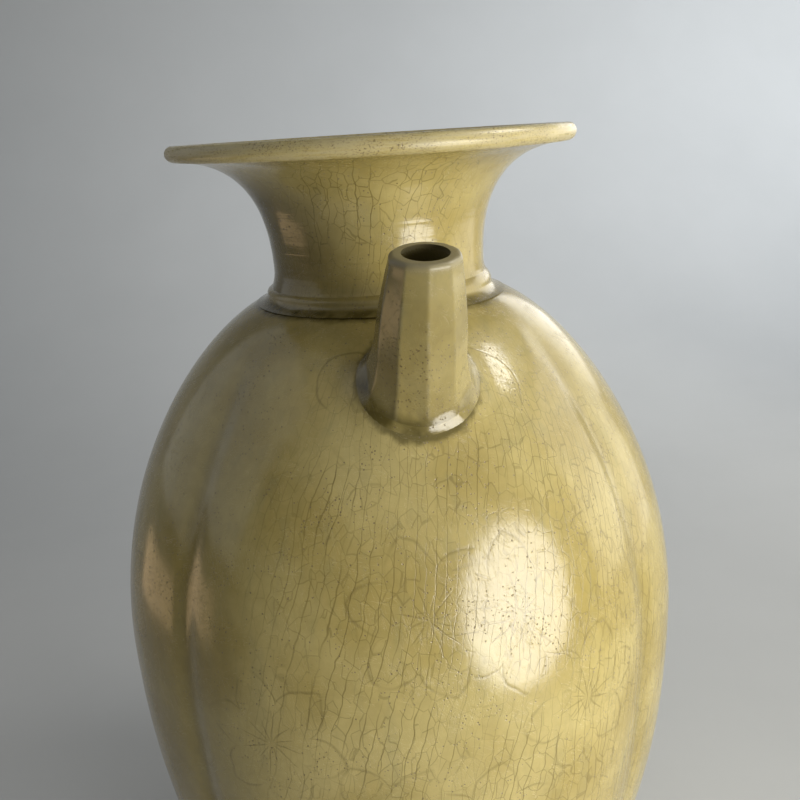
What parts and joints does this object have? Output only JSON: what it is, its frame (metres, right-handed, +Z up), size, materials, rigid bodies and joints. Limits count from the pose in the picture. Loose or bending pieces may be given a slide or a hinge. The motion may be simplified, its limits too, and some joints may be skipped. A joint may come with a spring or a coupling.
{
  "type": "celadon ewer",
  "caption": "Free-standing ceramic ewer with a lobed ovoid body, trumpet neck, short faceted spout and strap handle, for pouring liquid.",
  "frame": {"origin": "centre of the ring foot's resting face", "axes": "+Z up along the vessel's axis, -Y towards the spout, +Y towards the handle"},
  "size_m": [0.1548, 0.1547, 0.24],
  "materials": {
    "foot_clay": "thin olive glaze, bare fired clay on the resting face",
    "body_glaze": "glossy yellow-green celadon glaze with a fine crackle over incised flowers",
    "neck_glaze": "glossy celadon glaze with crackle and a worn brown lip",
    "spout_glaze": "glossy celadon glaze with pinholes and a worn grey-brown mouth",
    "handle_glaze": "glossy celadon glaze, thin on the ridges",
    "luting_glaze": "thick pooled olive glaze"
  },
  "bodies": {
    "root": {"foot_ring": "foot_clay", "body": "body_glaze", "neck_luting": "luting_glaze", "neck": "neck_glaze", "spout": "spout_glaze", "spout_luting": "luting_glaze", "handle": "handle_glaze", "handle_upper_luting": "luting_glaze", "handle_lower_luting": "luting_glaze"}
  },
  "joints": []
}
